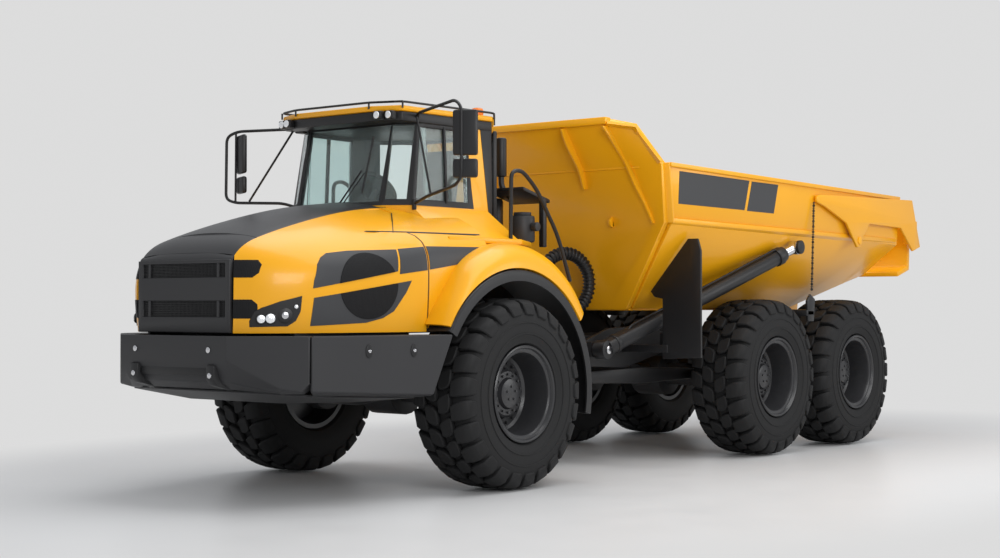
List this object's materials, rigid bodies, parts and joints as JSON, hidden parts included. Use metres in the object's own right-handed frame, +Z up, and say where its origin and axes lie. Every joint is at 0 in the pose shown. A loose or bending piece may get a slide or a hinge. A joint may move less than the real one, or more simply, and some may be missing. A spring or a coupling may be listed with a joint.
{
  "type": "articulated dump truck",
  "caption": "Six-wheel articulated dump truck: hooded front frame with cab, pivoting hitch, rear bogie and a tipping open body with tailgate.",
  "frame": {"origin": "centre of the truck's footprint, on the ground", "axes": "+Z up, the truck faces -Y, its left-hand side is +X"},
  "size_m": [3.47, 11.07, 3.6468],
  "materials": {
    "yellow_paint": "gloss",
    "charcoal_panel": "satin",
    "black_steel": "satin",
    "tyre_rubber": "matte",
    "chrome_rod": "polished",
    "dark_rim": "satin",
    "cab_glass": "clear",
    "lamp_lens": "clear",
    "seat_fabric": "matte"
  },
  "bodies": {
    "front_frame": {"front_chassis": "black_steel", "engine_block": "dark_rim", "front_axle": "charcoal_panel", "skid_plate": "charcoal_panel", "front_bumper": "charcoal_panel", "fender_left": "black_steel", "fender_right": "black_steel", "cab_deck": "yellow_paint", "cab_frame": "yellow_paint", "cab_roof": "yellow_paint", "windscreen": "cab_glass", "side_window_left": "cab_glass", "side_window_right": "cab_glass", "rear_window": "cab_glass", "driver_seat": "seat_fabric", "dashboard": "charcoal_panel", "mirror_left": "black_steel", "mirror_right": "black_steel", "steering_barrel_left": "black_steel", "steering_barrel_right": "black_steel"},
    "hood": {"hood_side_left": "yellow_paint", "hood_side_right": "yellow_paint", "hood_top": "charcoal_panel", "headlight_left": "lamp_lens", "headlight_right": "lamp_lens"},
    "grille_panel": {"grille": "charcoal_panel"},
    "door": {"cab_door": "black_steel"},
    "hitch": {"hitch_yoke": "charcoal_panel"},
    "rear_frame": {"rear_chassis": "black_steel", "middle_axle": "charcoal_panel", "rear_axle": "charcoal_panel", "bogie_beam_left": "black_steel", "bogie_beam_right": "black_steel", "rear_guard_left": "black_steel", "rear_guard_right": "black_steel"},
    "dump_body": {"body_floor": "yellow_paint", "body_side_left": "yellow_paint", "body_side_right": "yellow_paint", "body_front": "yellow_paint"},
    "tailgate_assembly": {"tailgate": "yellow_paint"},
    "wheel_front_left": {"tyre_front_left": "tyre_rubber", "rim_front_left": "dark_rim"},
    "wheel_middle_left": {"tyre_middle_left": "tyre_rubber", "rim_middle_left": "dark_rim"},
    "wheel_rear_left": {"tyre_rear_left": "tyre_rubber", "rim_rear_left": "dark_rim"},
    "hoist_barrel_body_left": {"hoist_barrel_left": "black_steel"},
    "hoist_rod_body_left": {"hoist_rod_left": "chrome_rod"},
    "steering_rod_body_left": {"steering_rod_left": "chrome_rod"},
    "wheel_front_right": {"tyre_front_right": "tyre_rubber", "rim_front_right": "dark_rim"},
    "wheel_middle_right": {"tyre_middle_right": "tyre_rubber", "rim_middle_right": "dark_rim"},
    "wheel_rear_right": {"tyre_rear_right": "tyre_rubber", "rim_rear_right": "dark_rim"},
    "hoist_barrel_body_right": {"hoist_barrel_right": "black_steel"},
    "hoist_rod_body_right": {"hoist_rod_right": "chrome_rod"},
    "steering_rod_body_right": {"steering_rod_right": "chrome_rod"}
  },
  "joints": [
    {"name": "steer", "type": "hinge", "parent": "front_frame", "child": "hitch", "pos_m": [0, -1.305, 1.05], "axis": [0, 0, 1], "range_deg": [-45, 45]},
    {"name": "hitch_roll", "type": "hinge", "parent": "hitch", "child": "rear_frame", "pos_m": [0, -0.805, 1.05], "axis": [0, 1, 0], "range_deg": [-15, 15]},
    {"name": "body_tip", "type": "hinge", "parent": "rear_frame", "child": "dump_body", "pos_m": [0, 4.245, 1.55], "axis": [-1, 0, 0], "range_deg": [0, 70]},
    {"name": "tailgate_swing", "type": "hinge", "parent": "dump_body", "child": "tailgate_assembly", "pos_m": [0, 3.825, 2.5], "axis": [1, 0, 0], "range_deg": [0, 28]},
    {"name": "hood_tilt", "type": "hinge", "parent": "front_frame", "child": "hood", "pos_m": [0, -5.455, 1.4], "axis": [1, 0, 0], "range_deg": [0, 55]},
    {"name": "grille_fold", "type": "hinge", "parent": "front_frame", "child": "grille_panel", "pos_m": [0, -5.415, 1.47], "axis": [1, 0, 0], "range_deg": [0, 90]},
    {"name": "cab_door_swing", "type": "hinge", "parent": "front_frame", "child": "door", "pos_m": [0.841, -2.136, 2.34], "axis": [0, 0, -1], "range_deg": [0, 85]},
    {"name": "spin_front_left", "type": "hinge", "parent": "front_frame", "child": "wheel_front_left", "pos_m": [1.36, -2.755, 0.89], "axis": [1, 0, 0], "continuous": true},
    {"name": "spin_middle_left", "type": "hinge", "parent": "rear_frame", "child": "wheel_middle_left", "pos_m": [1.36, 1.905, 0.89], "axis": [1, 0, 0], "continuous": true},
    {"name": "spin_rear_left", "type": "hinge", "parent": "rear_frame", "child": "wheel_rear_left", "pos_m": [1.36, 3.845, 0.89], "axis": [1, 0, 0], "continuous": true},
    {"name": "hoist_swing_left", "type": "hinge", "parent": "rear_frame", "child": "hoist_barrel_body_left", "pos_m": [0.95, -0.505, 1.24], "axis": [0.5941, -0.4151, 0.689], "range_deg": [0, 6.86]},
    {"name": "hoist_extend_left", "type": "slide", "parent": "hoist_barrel_body_left", "child": "hoist_rod_body_left", "axis": [0.2174, 0.9076, 0.3592], "range_m": [0, 2.2995]},
    {"name": "steering_extend_left", "type": "slide", "parent": "front_frame", "child": "steering_rod_body_left", "axis": [-0.3299, 0.944, 0], "range_m": [-0.28, 0.28]},
    {"name": "spin_front_right", "type": "hinge", "parent": "front_frame", "child": "wheel_front_right", "pos_m": [-1.36, -2.755, 0.89], "axis": [1, 0, 0], "continuous": true},
    {"name": "spin_middle_right", "type": "hinge", "parent": "rear_frame", "child": "wheel_middle_right", "pos_m": [-1.36, 1.905, 0.89], "axis": [1, 0, 0], "continuous": true},
    {"name": "spin_rear_right", "type": "hinge", "parent": "rear_frame", "child": "wheel_rear_right", "pos_m": [-1.36, 3.845, 0.89], "axis": [1, 0, 0], "continuous": true},
    {"name": "hoist_swing_right", "type": "hinge", "parent": "rear_frame", "child": "hoist_barrel_body_right", "pos_m": [-0.95, -0.505, 1.24], "axis": [0.5941, 0.4151, -0.689], "range_deg": [0, 6.86]},
    {"name": "hoist_extend_right", "type": "slide", "parent": "hoist_barrel_body_right", "child": "hoist_rod_body_right", "axis": [-0.2174, 0.9076, 0.3592], "range_m": [0, 2.2995]},
    {"name": "steering_extend_right", "type": "slide", "parent": "front_frame", "child": "steering_rod_body_right", "axis": [0.3299, 0.944, 0], "range_m": [-0.28, 0.28]}
  ],
  "couplings": [
    {"joint": "tailgate_swing", "follows": "body_tip", "ratio": 0.4},
    {"joint": "hoist_swing_left", "follows": "body_tip", "ratio": 0.095151},
    {"joint": "hoist_extend_left", "follows": "body_tip", "m_per_rad": 1.8797},
    {"joint": "steering_extend_left", "follows": "steer", "m_per_rad": 0.3553},
    {"joint": "hoist_swing_right", "follows": "body_tip", "ratio": 0.095151},
    {"joint": "hoist_extend_right", "follows": "body_tip", "m_per_rad": 1.8797},
    {"joint": "steering_extend_right", "follows": "steer", "m_per_rad": -0.3553}
  ]
}
